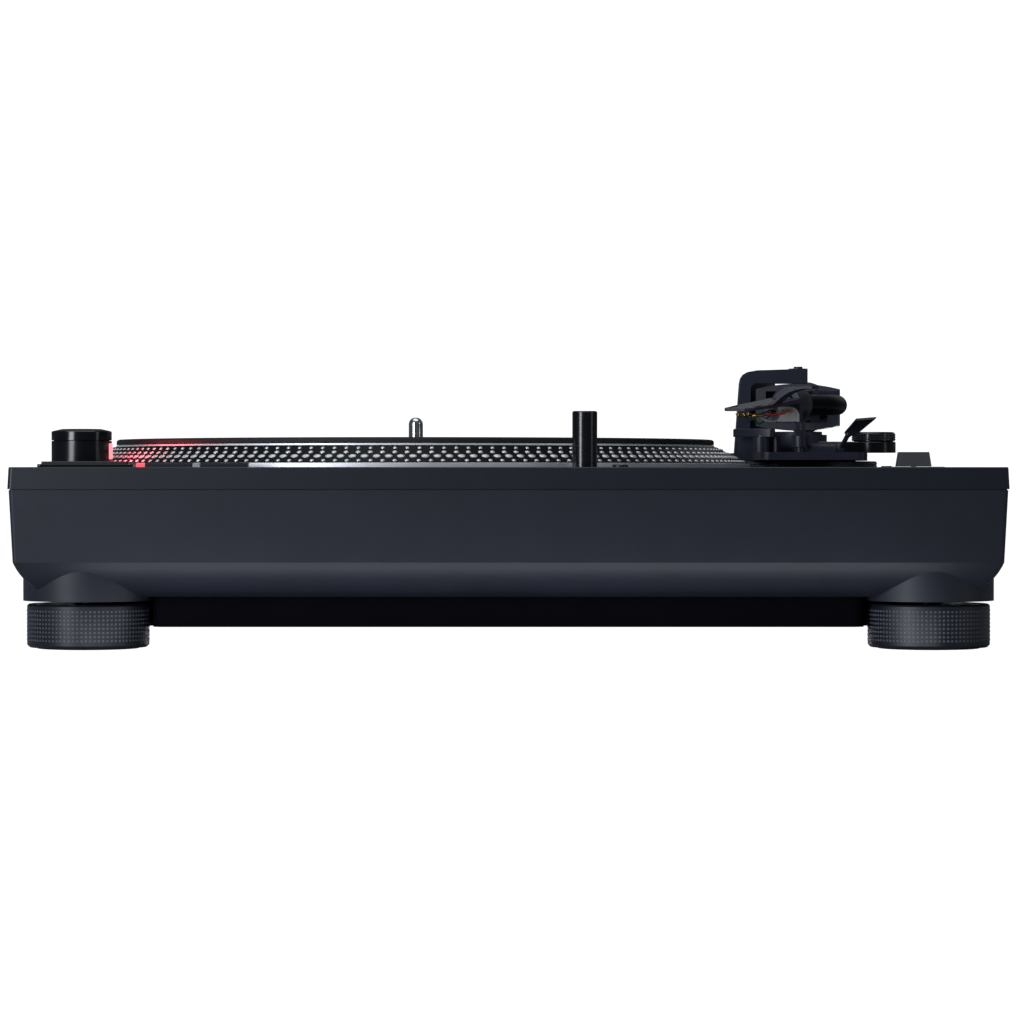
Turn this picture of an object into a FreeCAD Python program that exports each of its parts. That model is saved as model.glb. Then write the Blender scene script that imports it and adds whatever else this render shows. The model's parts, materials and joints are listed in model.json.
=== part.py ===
"""Direct-drive turntable record player with an S-shaped tonearm, in millimetres.

+X is right, +Y is rear and +Z is up.  The origin is on the ground, in the middle of the plinth.
Every sub-part is written to its own STEP file in parts/.
"""
import FreeCAD, Part
import math
import os

V = FreeCAD.Vector
RIGHT, REAR, UP = V(1, 0, 0), V(0, 1, 0), V(0, 0, 1)

# Fits
FREE_GAP = 0.3          # between pieces of different bodies
RUN_GAP = 0.05          # radial clearance of a shaft in its bore

# Plinth
WIDTH, DEPTH = 453.0, 353.0
TOP_Z = 83.2
LID_Z = 73.2            # underside of the top panel's rim
PANEL_UNDER = 76.2
LID_RIM = 6.0
CORNER_R = 2.0
LIP = 0.5               # how far the lid stands out past the lower body
SEAM_HIGH, SEAM_DEEP = 0.4, 0.5     # shadow groove under the lid
LID_TAPER = 0.5         # how much narrower the lid's top is on each side
WALL = 3.0
SIDE_DRAFT = 1.6
CREASE_Z = 40.0         # where the rounded lower edge starts
FLOOR_Z = 24.0
ROUND_IN = 17.0         # inset of the rounded edge at the floor
ROUND_PULL = (4.5, 28.6)  # inset and height of the curve's control point
ROUND_STEPS = 12

# Feet
FOOT_X, FOOT_Y = 193.5, 142.5
FOOT_R = 28.0
FOOT_TOP = 20.5
BOSS_R, BOSS_Z = 29.8, 22.0
STUD_R, STUD_TOP = 4.0, 45.0
PAD_R, PAD_H = 24.0, 4.0

# Bottom cover
COVER_Z = 10.1
COVER_WALL = 2.5
COVER_LONG = (205.0, 105.0)
COVER_DEEP = (163.0, 155.0)
COVER_SCREWS = [(sx * x, sy * y) for x, y in ((196, 90), (70, 145)) for sx in (-1, 1) for sy in (-1, 1)]
SCREW_R, SCREW_HEAD_R = 2.0, 3.5

# Platter and motor
SPINDLE_X = -46.3
PLATTER_R = 166.0
PLATTER_LOW, PLATTER_UNDER = 81.0, 88.0
BAND_TOP = 85.2         # top of the bright band round the platter
CONE_TOP = 93.4
RIM_TOP, RIM_R = 94.3, 148.5
MAT_FLOOR, MAT_TOP, MAT_R, MAT_BRIM_R = 92.0, 97.1, 147.3, 148.3
WELL_R, WELL_FLOOR = 168.5, 79.5
SPINDLE_R, SHAFT_R, SPINDLE_TOP = 3.55, 3.0, 108.4  # free end, shaft in the hub and bearing
HUB_R, HUB_LOW = 18.0, 80.0
MAGNET_R, MAGNET_LOW = (45.0, 68.0), 74.0
MOTOR_HOLE_R = 72.0
BOARD_Z, BOARD_T, BOARD_R = 60.0, 1.6, 84.0
COIL_COUNT = 9

# Controls
BEZEL = (-214.0, -170.3, -168.0, -122.0)
BEZEL_TOP = 84.6
START_BUTTON = (-212.3, -172.7, -166.3, -123.7)
START_TOP = 85.8
TOWER = (-200.9, -104.0)
TOWER_R, TOWER_TOP, KNOB_TOP = 14.1, 96.0, 101.3
CAP_LAP, CAP_SKIRT = 0.9, 1.0       # height and depth of the boss hidden in a turning knob's skirt
LENS_Z, LENS_INNER_R, LENS_HALF_ANGLE = (87.1, 94.5), 10.5, 52.0
SPEED_Y = (-168.0, -158.0)
LED_RED = (-168.9, -165.4)
BUTTON_33 = (-165.0, -143.6)
LED_GREY = (-143.3, -140.1)
BUTTON_45 = (-139.8, -118.2)
SPEED_TOP = 85.2
BUTTON_LOW = 74.4
STEM_INSET = 3.3
LAMP = (34.8, -158.0)
LAMP_R, LAMP_LOW, LAMP_TOP = 5.7, 72.0, 108.8
LAMP_BUTTON = (51.0, -158.0)
LAMP_BUTTON_R = 3.6
PITCH = (192.0, -90.0)
PITCH_TRAVEL = 50.0
PITCH_PLATE = (174.5, 200.0, -152.0, -28.0)
PITCH_PLATE_TOP = 83.45
PITCH_TOP = 90.6
RESET = (179.3, -90.0)
RESET_R = 2.6
ADAPTOR = (-184.0, 134.0)
ADAPTOR_R, ADAPTOR_FLOOR, ADAPTOR_TOP = 19.05, 79.8, 88.0

# Rear connections
BAY = (70.0, 150.0, 38.0, 64.0)     # x and z of the opening in the rear wall
BAY_FLOOR_Y = 155.0
INLET = (-140.0, 50.0)              # x and z of the mains inlet's centre

# Tonearm
PIVOT = (150.7, 87.0)
ARM_Z = 115.2
ARM_YAW, ARM_DIP, HEAD_OFFSET = 10.0, 0.7, 22.0
RING_R, RING_TOP = 40.8, 87.0
SLEEVE_R = 30.0
BASE_R, BASE_LOW, BASE_TOP = 36.0, 87.3, 91.2
BASE_PLATE = (125.0, 178.6, -5.0)
WALL_R, WALL_TOP = (27.0, 33.0), 100.3
COLUMN_R, COLUMN_TOP = (15.0, 12.5), (100.8, 102.4)
BRACKET_LEG, BRACKET_HALF_Y = (118.3, 125.1), 6.0
BRACKET_WALL = (25.4, 29.4)         # radii of its curved rear wall about the pivot
GIMBAL = (21.2, 8.0)                # half width and half depth of the swinging ring
GIMBAL_WALL = 5.2
RING_TOP_Z = 127.2
GIMBAL_HOLE = 8.2
TUBE_R, TUBE_WALL = 4.8, 0.6
TUBE_END = V(16.9, -188.3, 0)
TUBE_ROUTE = [V(0, 46, 0), V(0, -62, 0), V(38.5, -135, 0), TUBE_END]
TUBE_BENDS = [80.0, 60.0]
WEIGHT = (13.6, 29.6, 46.0)         # radius, front and rear of the counterweight
DIAL = (11.0, 25.0, 29.3)
COLLAR = (8.3, 5.0, -8.5)
HEAD_BACK, HEAD_TIP = -9.0, -58.0
REST = (146.1, 6.6)
CLAMP_AT = (153.9, 120.9)           # x and z of the clamp's hinge
CLAMP_PIN_R = 0.9
CUE_R, CUE_SPAN, CUE_POST_AT = 38.0, (211, 244), 236
CUE_LOW, CUE_TOP = 99.5, 103.7
CUE_PIVOT = V(166.0, 10.0, 92.7)
SKATE = (186.7, 52.0)
SKATE_R = 11.0
LEAD_R, CLIP_R, CLIP_LENGTH = 0.45, 0.85, 7.0
# Lead routes in the headshell's frame: out of the terminals, drooping under the plate, to the clips
LEADS = {
    "lead_red": [V(5.2, -12, -3.2), V(5.5, -16.5, -3.0), V(7.4, -21.5, -3.4), V(9.0, -27.0, -4.2),
                 V(8.2, -32.6, -4.9), V(5.4, -37.2, -5.0), V(5.0, -41.4, -5.2)],
    "lead_white": [V(1.9, -12, -3.0), V(2.1, -16.5, -3.2), V(3.4, -21.6, -5.4), V(4.8, -27.0, -8.0),
                   V(4.0, -32.6, -8.2), V(1.9, -37.2, -6.4), V(1.6, -41.6, -5.6)],
    "lead_green": [V(-1.6, -12, -3.4), V(-1.9, -16.4, -3.8), V(-3.0, -21.2, -6.2), V(-3.6, -26.4, -9.0),
                   V(-2.4, -31.8, -9.2), V(-1.8, -36.4, -6.9), V(-1.6, -40.8, -6.1)],
    "lead_blue": [V(-5.0, -12, -3.2), V(-5.4, -16.4, -3.4), V(-7.4, -21.4, -4.6), V(-8.4, -26.8, -7.0),
                  V(-7.2, -32.2, -7.8), V(-5.2, -36.8, -6.2), V(-4.9, -41.2, -5.6)],
}
LIMP_BEND = 3.0         # least radius of a lead's bend, in diameters

PIVOT_AT = V(PIVOT[0], PIVOT[1], ARM_Z)
ARM_FRAME = FreeCAD.Placement(PIVOT_AT, FreeCAD.Rotation(UP, -ARM_YAW)).multiply(
    FreeCAD.Placement(V(0, 0, 0), FreeCAD.Rotation(RIGHT, ARM_DIP)))
HEAD_FRAME = ARM_FRAME.multiply(FreeCAD.Placement(TUBE_END, FreeCAD.Rotation(UP, -HEAD_OFFSET)))
YAW_FRAME = FreeCAD.Placement(PIVOT_AT, FreeCAD.Rotation(UP, -ARM_YAW))


# ---------------------------------------------------------------- basic shapes

def block(x0, x1, y0, y1, z0, z1):
    return Part.makeBox(x1 - x0, y1 - y0, z1 - z0, V(x0, y0, z0))


def rod(x, y, z0, z1, radius):
    return Part.makeCylinder(radius, z1 - z0, V(x, y, z0), UP)


def rod_x(x0, x1, y, z, radius):
    return Part.makeCylinder(radius, x1 - x0, V(x0, y, z), RIGHT)


def rod_y(x, y0, y1, z, radius):
    return Part.makeCylinder(radius, y1 - y0, V(x, y0, z), REAR)


def pipe(x, y, z0, z1, outer, inner):
    return rod(x, y, z0, z1, outer).cut(rod(x, y, z0 - 1, z1 + 1, inner))


def turned(x, y, outline):
    """A solid turned about the vertical axis at x, y from its outline of (radius, height) points."""
    points = [V(x + r, y, z) for r, z in outline]
    face = Part.Face(Part.makePolygon(points + [points[0]]))
    return face.revolve(V(x, y, 0), UP, 360)


def rounded_outline(cx, cy, z, half_x, half_y, radius):
    """A closed rectangle with round corners, in a level plane."""
    corner = radius * (1 - math.sqrt(0.5))
    edges = []
    quarter = [(1, -1), (1, 1), (-1, 1), (-1, -1)]
    ends = []
    for sx, sy in quarter:
        along_x = V(cx + sx * (half_x - radius), cy + sy * half_y, z)
        along_y = V(cx + sx * half_x, cy + sy * (half_y - radius), z)
        middle = V(cx + sx * (half_x - corner), cy + sy * (half_y - corner), z)
        first, last = (along_x, along_y) if sx * sy < 0 else (along_y, along_x)
        ends.append((first, middle, last))
    for i, (first, middle, last) in enumerate(ends):
        edges.append(Part.Arc(first, middle, last).toShape())
        edges.append(Part.LineSegment(last, ends[(i + 1) % 4][0]).toShape())
    return Part.Wire(edges)


def plate(x0, x1, y0, y1, z0, z1, radius):
    outline = rounded_outline((x0 + x1) / 2, (y0 + y1) / 2, z0, (x1 - x0) / 2, (y1 - y0) / 2, radius)
    return Part.Face(outline).extrude(V(0, 0, z1 - z0))


def prism(points, along):
    """A solid pushed along a vector from a flat outline."""
    return Part.Face(Part.makePolygon(list(points) + [points[0]])).extrude(along)


def level_edges(shape, height):
    tol = 0.01
    return [e for e in shape.Edges
            if abs(e.BoundBox.ZMin - height) < tol and abs(e.BoundBox.ZMax - height) < tol]


def eased(shape, height, size):
    """The shape with its edges at one height chamfered."""
    return shape.makeChamfer(size, level_edges(shape, height))


def softened(shape, height, size):
    """The shape with its edges at one height rounded."""
    return shape.makeFillet(size, level_edges(shape, height))


def placed(shape, frame):
    moved = shape.copy()
    moved.Placement = frame.multiply(moved.Placement)
    return moved


def joined(first, *others):
    whole = first
    for other in others:
        whole = whole.fuse(other)
    return whole.removeSplitter()


def route(points, radii):
    """Straight runs joined by tangent arcs: one radius for each inner point."""
    edges, start = [], points[0]
    for i, radius in enumerate(radii, start=1):
        come = (points[i] - points[i - 1]).normalize()
        go = (points[i + 1] - points[i]).normalize()
        half = come.getAngle(go) / 2
        reach = radius * math.tan(half)
        first, last = points[i] - come * reach, points[i] + go * reach
        inward = (go - come).normalize()
        middle = points[i] + inward * (radius / math.cos(half) - radius)
        edges.append(Part.LineSegment(start, first).toShape())
        edges.append(Part.Arc(first, middle, last).toShape())
        start = last
    edges.append(Part.LineSegment(start, points[-1]).toShape())
    return Part.Wire(edges)


def swept(points, radii, radius):
    path = route(points, radii)
    section = Part.Wire(Part.makeCircle(radius, points[0], points[1] - points[0]))
    solid = path.makePipeShell([section], True, False)
    return solid, path.Length


def free_radii(points):
    """The largest tangent arc that each inner point's two runs leave room for."""
    radii = []
    for before, here, after in zip(points, points[1:], points[2:]):
        shorter = min((here - before).Length, (after - here).Length)
        radii.append(0.45 * shorter / math.tan((here - before).getAngle(after - here) / 2))
    return radii


# ---------------------------------------------------------------- plinth

def body_sections():
    """(inset, height) of the lower body's outline, from its top edge down round its lower edge."""
    sections = [(0.0, LID_Z), (SIDE_DRAFT, CREASE_Z)]
    for i in range(1, ROUND_STEPS + 1):
        t = i / ROUND_STEPS
        inset = 2 * (1 - t) * t * ROUND_PULL[0] + t * t * ROUND_IN
        height = (1 - t) ** 2 * CREASE_Z + 2 * (1 - t) * t * ROUND_PULL[1] + t * t * FLOOR_Z
        sections.append((SIDE_DRAFT + inset, height))
    return sections


def body_solid(wall, top):
    """The lower body's filled shape, moved in by a wall."""
    outlines = []
    for inset, height in body_sections():
        raised = wall * (CREASE_Z - min(height, CREASE_Z)) / (CREASE_Z - FLOOR_Z)
        z = top if height == LID_Z else height + raised
        half_x = WIDTH / 2 - LIP - inset - wall
        half_y = DEPTH / 2 - LIP - inset - wall
        outlines.append(rounded_outline(0, 0, z, half_x, half_y, max(CORNER_R - wall, 0.5)))
    return Part.makeLoft(outlines, True, True)


def foot_places():
    return {"front_left": (-FOOT_X, -FOOT_Y), "front_right": (FOOT_X, -FOOT_Y),
            "rear_left": (-FOOT_X, FOOT_Y), "rear_right": (FOOT_X, FOOT_Y)}


def seam_groove():
    """Frame-shaped cut round the top of the lower body, right under the lid."""
    half_x, half_y = WIDTH / 2, DEPTH / 2
    core_x, core_y = half_x - LIP - SEAM_DEEP, half_y - LIP - SEAM_DEEP
    outside = block(-half_x - 1, half_x + 1, -half_y - 1, half_y + 1, LID_Z - SEAM_HIGH, LID_Z + 1)
    return outside.cut(plate(-core_x, core_x, -core_y, core_y, LID_Z - 2, LID_Z + 2, CORNER_R))


def lower_chassis():
    shell = body_solid(0, LID_Z).cut(body_solid(WALL, LID_Z + 1))
    for x, y in foot_places().values():
        shell = shell.fuse(rod(x, y, BOSS_Z, STUD_TOP + 4, BOSS_R))
    bearing_pillar = rod(SPINDLE_X, 0, FLOOR_Z + 1, 40, 14)
    x0, x1, z0, z1 = BAY
    duct = block(x0 - WALL, x1 + WALL, BAY_FLOOR_Y, DEPTH / 2 - 4, z0 - WALL, z1 + WALL)
    inlet_mouth = block(INLET[0] - 14, INLET[0] + 14, DEPTH / 2 - 8, DEPTH / 2, INLET[1] - 9, INLET[1] + 9)
    shell = joined(shell, bearing_pillar, duct)
    shell = shell.cut(block(x0, x1, BAY_FLOOR_Y - 1, DEPTH / 2 + 1, z0, z1)).cut(inlet_mouth)
    for x, y in foot_places().values():
        shell = shell.cut(rod(x, y, BOSS_Z - 1, STUD_TOP + 2, STUD_R + RUN_GAP))
    for x, y in COVER_SCREWS:
        shell = shell.cut(rod(x, y, FLOOR_Z - 1, FLOOR_Z + WALL + 1, SCREW_R))
    return shell.cut(seam_groove())


def top_panel():
    half_x, half_y = WIDTH / 2, DEPTH / 2
    foot = rounded_outline(0, 0, LID_Z, half_x, half_y, CORNER_R)
    crown = rounded_outline(0, 0, TOP_Z, half_x - LID_TAPER, half_y - LID_TAPER, CORNER_R)
    panel = eased(Part.makeLoft([foot, crown], True, True), TOP_Z, 0.4)
    inner_x, inner_y = half_x - LID_RIM, half_y - LID_RIM
    cuts = [
        plate(-inner_x, inner_x, -inner_y, inner_y, LID_Z - 1, PANEL_UNDER, CORNER_R),
        rod(SPINDLE_X, 0, WELL_FLOOR, TOP_Z + 1, WELL_R),
        rod(SPINDLE_X, 0, LID_Z, TOP_Z, MOTOR_HOLE_R),
        rod(PIVOT[0], PIVOT[1], LID_Z, TOP_Z + 1, SLEEVE_R),
        rod(ADAPTOR[0], ADAPTOR[1], ADAPTOR_FLOOR - FREE_GAP, TOP_Z + 1, ADAPTOR_R + 0.6),
        rod(LAMP[0], LAMP[1], LID_Z, TOP_Z + 1, LAMP_R + RUN_GAP),
        rod(LAMP_BUTTON[0], LAMP_BUTTON[1], LID_Z, TOP_Z + 1, LAMP_BUTTON_R + FREE_GAP),
        rod(RESET[0], RESET[1], LID_Z, TOP_Z + 1, RESET_R + FREE_GAP),
        rod(TOWER[0], TOWER[1], LID_Z, TOP_Z + 1, 4.0),
        block(PITCH[0] - 1.6, PITCH[0] + 1.6, PITCH[1] - PITCH_TRAVEL - 3.5,
              PITCH[1] + PITCH_TRAVEL + 3.5, LID_Z, TOP_Z + 1),
        shrunk_block(START_BUTTON, STEM_INSET - FREE_GAP, LID_Z, TOP_Z + 1),
    ]
    for x0, x1 in (BUTTON_33, BUTTON_45):
        cuts.append(block(x0 - FREE_GAP / 2, x1 + FREE_GAP / 2, SPEED_Y[0] - FREE_GAP, SPEED_Y[1] + FREE_GAP,
                          LID_Z, TOP_Z + 1))
    lock_x, lock_y = lock_place()
    cuts.append(rod(lock_x, lock_y, LID_Z, TOP_Z + 1, 2.5 + RUN_GAP))
    for cut in cuts:
        panel = panel.cut(cut)
    return panel


def bottom_cover():
    """A deep black tray under the chassis, cross-shaped so that it clears the feet."""
    def cross(inset, z0, z1):
        lx, ly = (v - inset for v in COVER_LONG)
        dx, dy = (v - inset for v in COVER_DEEP)
        return plate(-lx, lx, -ly, ly, z0, z1, 6).fuse(plate(-dx, dx, -dy, dy, z0, z1, 6)).removeSplitter()
    tray = cross(0, COVER_Z, FLOOR_Z).cut(cross(COVER_WALL, COVER_Z + COVER_WALL, FLOOR_Z + 1))
    for x, y in COVER_SCREWS:
        tray = tray.fuse(rod(x, y, COVER_Z, FLOOR_Z, 7))
    for x, y in COVER_SCREWS:
        tray = tray.cut(rod(x, y, COVER_Z - 1, FLOOR_Z + 1, SCREW_R + RUN_GAP))
        tray = tray.cut(rod(x, y, COVER_Z - 1, COVER_Z + 3, SCREW_HEAD_R + FREE_GAP))
    return tray.removeSplitter()


def cover_screws():
    screws = []
    for x, y in COVER_SCREWS:
        screw = rod(x, y, COVER_Z + 0.6, COVER_Z + 3, SCREW_HEAD_R).fuse(
            rod(x, y, COVER_Z + 3, FLOOR_Z + WALL + 2, SCREW_R))
        for turn in (0, 90):
            slot = block(-2.2, 2.2, -0.45, 0.45, COVER_Z, COVER_Z + 1.8)
            screw = screw.cut(placed(slot, FreeCAD.Placement(V(x, y, 0), FreeCAD.Rotation(UP, turn))))
        screws.append(screw)
    return Part.makeCompound(screws)


def foot_housing(x, y):
    """Screw foot: a round housing, open below for its pad, with the stud that sets its height."""
    outline = [(0, PAD_H + FREE_GAP), (PAD_R + FREE_GAP, PAD_H + FREE_GAP), (PAD_R + FREE_GAP, 0.6),
               (FOOT_R - 1.2, 0.6), (FOOT_R, 1.8), (FOOT_R, FOOT_TOP - 0.8), (FOOT_R - 0.8, FOOT_TOP),
               (STUD_R, FOOT_TOP), (STUD_R, STUD_TOP), (0, STUD_TOP)]
    return turned(x, y, outline)


def foot_pad(x, y):
    return turned(x, y, [(0, 0), (PAD_R - 0.8, 0), (PAD_R, 0.8), (PAD_R, PAD_H), (0, PAD_H)])


def rear_terminals():
    """Connector plate at the bottom of the rear bay, with two phono jacks and an earth post."""
    x0, x1, z0, z1 = BAY
    middle = (z0 + z1) / 2
    plate_back = BAY_FLOOR_Y
    panel = block(x0 - WALL, x1 + WALL, plate_back - 2, plate_back, z0 - WALL, z1 + WALL)
    for x in (x0 + 18, x0 + 42):
        jack = rod_y(x, plate_back - 8, plate_back + 9, middle, 4.15).cut(
            rod_y(x, plate_back + 1, plate_back + 10, middle, 1.6))
        panel = panel.fuse(jack).fuse(rod_y(x, plate_back, plate_back + 1.5, middle, 7))
    earth = rod_y(x1 - 14, plate_back, plate_back + 9, middle, 2).fuse(
        rod_y(x1 - 14, plate_back + 2, plate_back + 7, middle, 5))
    return panel.fuse(earth).removeSplitter()


def mains_inlet():
    """Two-pin inlet let into the rear wall."""
    x, z = INLET
    mouth_y = DEPTH / 2 - 4.2
    body = block(x - 14, x + 14, mouth_y - 22, mouth_y, z - 9, z + 9)
    body = body.cut(block(x - 8.5, x + 8.5, mouth_y - 12, mouth_y + 1, z - 4.6, z + 4.6))
    pins = [rod_y(x + side * 4.3, mouth_y - 13, mouth_y - 3, z, 1.15) for side in (-1, 1)]
    return joined(body, *pins)


def power_supply():
    floor = FLOOR_Z + WALL
    top = floor + 4.6
    board = block(-155, -65, 45, 145, floor + 3, top)
    legs = [rod(x, y, floor, floor + 3, 3) for x in (-150, -70) for y in (50, 140)]
    transformer = block(-145, -105, 60, 100, top, top + 26)
    core = block(-151, -99, 66, 94, top, top + 20)
    capacitors = [rod(-85, y, top, top + 22, 8) for y in (62, 84, 106)]
    return joined(board, transformer, core, *(legs + capacitors))


def control_board():
    """Circuit board under the buttons, carrying a switch under each of them."""
    board = block(-216, -112, -166, -118, 64.4, 66)
    posts = [rod(x, y, 66, PANEL_UNDER, 2.2) for x, y in ((-213, -120), (-115, -121), (-115, -142))]
    switches = []
    for x0, x1, y0, y1 in (START_BUTTON, BUTTON_33 + SPEED_Y, BUTTON_45 + SPEED_Y):
        cx, cy = (x0 + x1) / 2, (y0 + y1) / 2
        switches.append(block(cx - 3, cx + 3, cy - 3, cy + 3, 66, 71).fuse(rod(cx, cy, 71, 72.6, 1.6)))
    return joined(board, *(posts + switches))


# ---------------------------------------------------------------- controls

def shrunk_block(area, inset, z0, z1):
    """A block over an (x0, x1, y0, y1) area, moved in on every side."""
    x0, x1, y0, y1 = area
    return block(x0 + inset, x1 - inset, y0 + inset, y1 - inset, z0, z1)


def control_bezel():
    x0, x1, y0, y1 = BEZEL
    frame = eased(plate(x0, x1, y0, y1, TOP_Z, BEZEL_TOP, 1.5), BEZEL_TOP, 0.3)
    frame = frame.cut(shrunk_block(START_BUTTON, -FREE_GAP, TOP_Z - 1, BEZEL_TOP + 1))
    pad = rod(TOWER[0], TOWER[1], TOP_Z, BEZEL_TOP, TOWER_R + 2.9).cut(block(x0, x1, y0, y1, 0, 100))
    pad = pad.cut(rod(TOWER[0], TOWER[1], 0, 100, 3.8))
    return frame.fuse(pad).removeSplitter()


def start_button():
    x0, x1, y0, y1 = START_BUTTON
    cap_low = TOP_Z + 1.3
    cap = eased(plate(x0, x1, y0, y1, cap_low, START_TOP, 1.0), START_TOP, 0.3)
    stem = shrunk_block(START_BUTTON, STEM_INSET, BUTTON_LOW, cap_low)
    return cap.fuse(stem).removeSplitter()


def speed_button(span):
    x0, x1 = span
    key = eased(block(x0, x1, SPEED_Y[0], SPEED_Y[1], BUTTON_LOW, SPEED_TOP), SPEED_TOP, 0.25)
    return key


def speed_leds():
    lamps = []
    for x0, x1 in (LED_RED, LED_GREY):
        lens = block(x0, x1, SPEED_Y[0], SPEED_Y[1], TOP_Z, SPEED_TOP - 0.3)
        lamps.append(eased(lens, SPEED_TOP - 0.3, 0.25))
    return Part.makeCompound(lamps)


def strobe_tower():
    """Round housing of the strobe lamp, bored for the power knob's shaft."""
    x, y = TOWER
    tower = rod(x, y, BEZEL_TOP, TOWER_TOP - FREE_GAP, TOWER_R).fuse(
        rod(x, y, BEZEL_TOP, TOWER_TOP + CAP_LAP, TOWER_R - CAP_SKIRT))
    tower = tower.cut(rod(x, y, 80, 100, 3 + RUN_GAP))
    return tower.cut(tower_window(0, TOWER_R + 1))


def tower_window(inset, outer):
    """Curved block of the tower's wall on the side that faces the spindle."""
    facing = math.degrees(math.atan2(-TOWER[1], SPINDLE_X - TOWER[0]))
    low, high = LENS_Z
    wedge = Part.makeCylinder(outer, high - low - 2 * inset, V(TOWER[0], TOWER[1], low + inset), UP,
                              2 * LENS_HALF_ANGLE - 2 * inset)
    wedge.rotate(V(TOWER[0], TOWER[1], 0), UP, facing - LENS_HALF_ANGLE + inset)
    return wedge.cut(rod(TOWER[0], TOWER[1], low - 1, high + 1, LENS_INNER_R + inset))


def strobe_lens():
    return tower_window(0.1, TOWER_R + 0.4)


def power_knob():
    x, y = TOWER
    recess = TOWER_R - CAP_SKIRT + FREE_GAP
    roof = TOWER_TOP + CAP_LAP + FREE_GAP
    cap = turned(x, y, [(0, roof), (recess, roof), (recess, TOWER_TOP), (TOWER_R, TOWER_TOP),
                        (TOWER_R, 99.9), (TOWER_R - 0.4, 100.3),
                        (9.2, KNOB_TOP), (8.6, KNOB_TOP - 0.4), (0, KNOB_TOP - 0.4)])
    return cap.fuse(rod(x, y, 85.5, roof + 0.5, 3)).removeSplitter()


def lamp_tube():
    """Pop-up stylus lamp: a hollow post with its lamp window near the top."""
    x, y = LAMP
    post = eased(rod(x, y, LAMP_LOW, LAMP_TOP, LAMP_R), LAMP_TOP, 0.5)
    post = post.cut(rod(x, y, LAMP_LOW - 1, LAMP_TOP - 12, LAMP_R - 1.5))
    return post.cut(rod_y(x, y + LAMP_R - 2, y + LAMP_R + 1, LAMP_TOP - 6, 2.6))


def round_button(x, y, radius, top, crown):
    key = eased(rod(x, y, BUTTON_LOW, top, radius), top, crown)
    return key


def pitch_plate():
    x0, x1, y0, y1 = PITCH_PLATE
    strip = eased(plate(x0, x1, y0, y1, TOP_Z, PITCH_PLATE_TOP, 2), PITCH_PLATE_TOP, 0.2)
    reach = PITCH_TRAVEL + 3.5
    strip = strip.cut(block(PITCH[0] - 1.6, PITCH[0] + 1.6, PITCH[1] - reach, PITCH[1] + reach, 80, 90))
    return strip.cut(rod(RESET[0], RESET[1], 80, 90, RESET_R + FREE_GAP))


def pitch_knob():
    """Fader cap with a hollowed grip on top and its blade through the slot."""
    x, y = PITCH
    base_z = PITCH_PLATE_TOP + FREE_GAP
    half_base, half_top, half_y = 8.05, 7.1, 5.6
    sides = prism([V(x - half_base, y - half_y, base_z), V(x + half_base, y - half_y, base_z),
                   V(x + half_top, y - half_y, PITCH_TOP), V(x - half_top, y - half_y, PITCH_TOP)],
                  V(0, 2 * half_y, 0))
    taper = prism([V(x - half_base, y - half_y, base_z), V(x - half_base, y + half_y, base_z),
                   V(x - half_base, y + half_y - 1.4, PITCH_TOP), V(x - half_base, y - half_y + 1.4, PITCH_TOP)],
                  V(2 * half_base, 0, 0))
    cap = sides.common(taper)
    grip = rod_x(x - 10, x + 10, y, PITCH_TOP + 9.4, 10.2)
    blade = block(x - 1.0, x + 1.0, y - 2.5, y + 2.5, 70.5, base_z + 1)
    return cap.cut(grip).fuse(blade).removeSplitter()


def pitch_fader():
    """Fader body under the panel, slotted along its top for the knob's blade."""
    x, y = PITCH
    reach = PITCH_TRAVEL + 7
    body = block(x - 7, x + 7, y - reach, y + reach, 60, PANEL_UNDER)
    slot = block(x - 1.6, x + 1.6, y - PITCH_TRAVEL - 3.5, y + PITCH_TRAVEL + 3.5, 69, PANEL_UNDER + 1)
    return body.cut(slot)


def adaptor():
    """Large-hole record adaptor, standing in its recess."""
    x, y = ADAPTOR
    hole = SPINDLE_R + 0.1
    return turned(x, y, [(hole, ADAPTOR_FLOOR), (ADAPTOR_R, ADAPTOR_FLOOR), (ADAPTOR_R, ADAPTOR_TOP - 2.5),
                         (ADAPTOR_R - 1.5, ADAPTOR_TOP - 1.2), (9, ADAPTOR_TOP), (6, ADAPTOR_TOP - 1.5),
                         (hole, ADAPTOR_TOP - 1.5)])


# ---------------------------------------------------------------- platter and motor

def platter():
    """Cast platter: mat recess, bright top edge, sloped rim that carries the strobe dots, bright band."""
    outline = [(SHAFT_R, HUB_LOW), (HUB_R, HUB_LOW), (HUB_R, PLATTER_UNDER), (150, PLATTER_UNDER),
               (160, 83.5), (160, PLATTER_LOW), (PLATTER_R, PLATTER_LOW), (PLATTER_R, BAND_TOP),
               (PLATTER_R - 1, BAND_TOP), (RIM_R + 1, CONE_TOP), (RIM_R, CONE_TOP), (RIM_R, RIM_TOP),
               (MAT_R + FREE_GAP, RIM_TOP), (MAT_R + FREE_GAP, MAT_FLOOR), (SHAFT_R, MAT_FLOOR)]
    return turned(SPINDLE_X, 0, outline)


def platter_mat():
    bore, brim_z = 4.2, RIM_TOP + FREE_GAP
    outline = [(bore, MAT_FLOOR), (MAT_R, MAT_FLOOR), (MAT_R, brim_z), (MAT_BRIM_R, brim_z),
               (MAT_BRIM_R, MAT_TOP - 0.8), (MAT_BRIM_R - 0.8, MAT_TOP), (bore, MAT_TOP)]
    return turned(SPINDLE_X, 0, outline)


def spindle():
    free_end = softened(rod(SPINDLE_X, 0, MAT_TOP, SPINDLE_TOP, SPINDLE_R), SPINDLE_TOP, SPINDLE_R - 0.2)
    return free_end.fuse(rod(SPINDLE_X, 0, 43.3, MAT_TOP, SHAFT_R)).removeSplitter()


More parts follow.
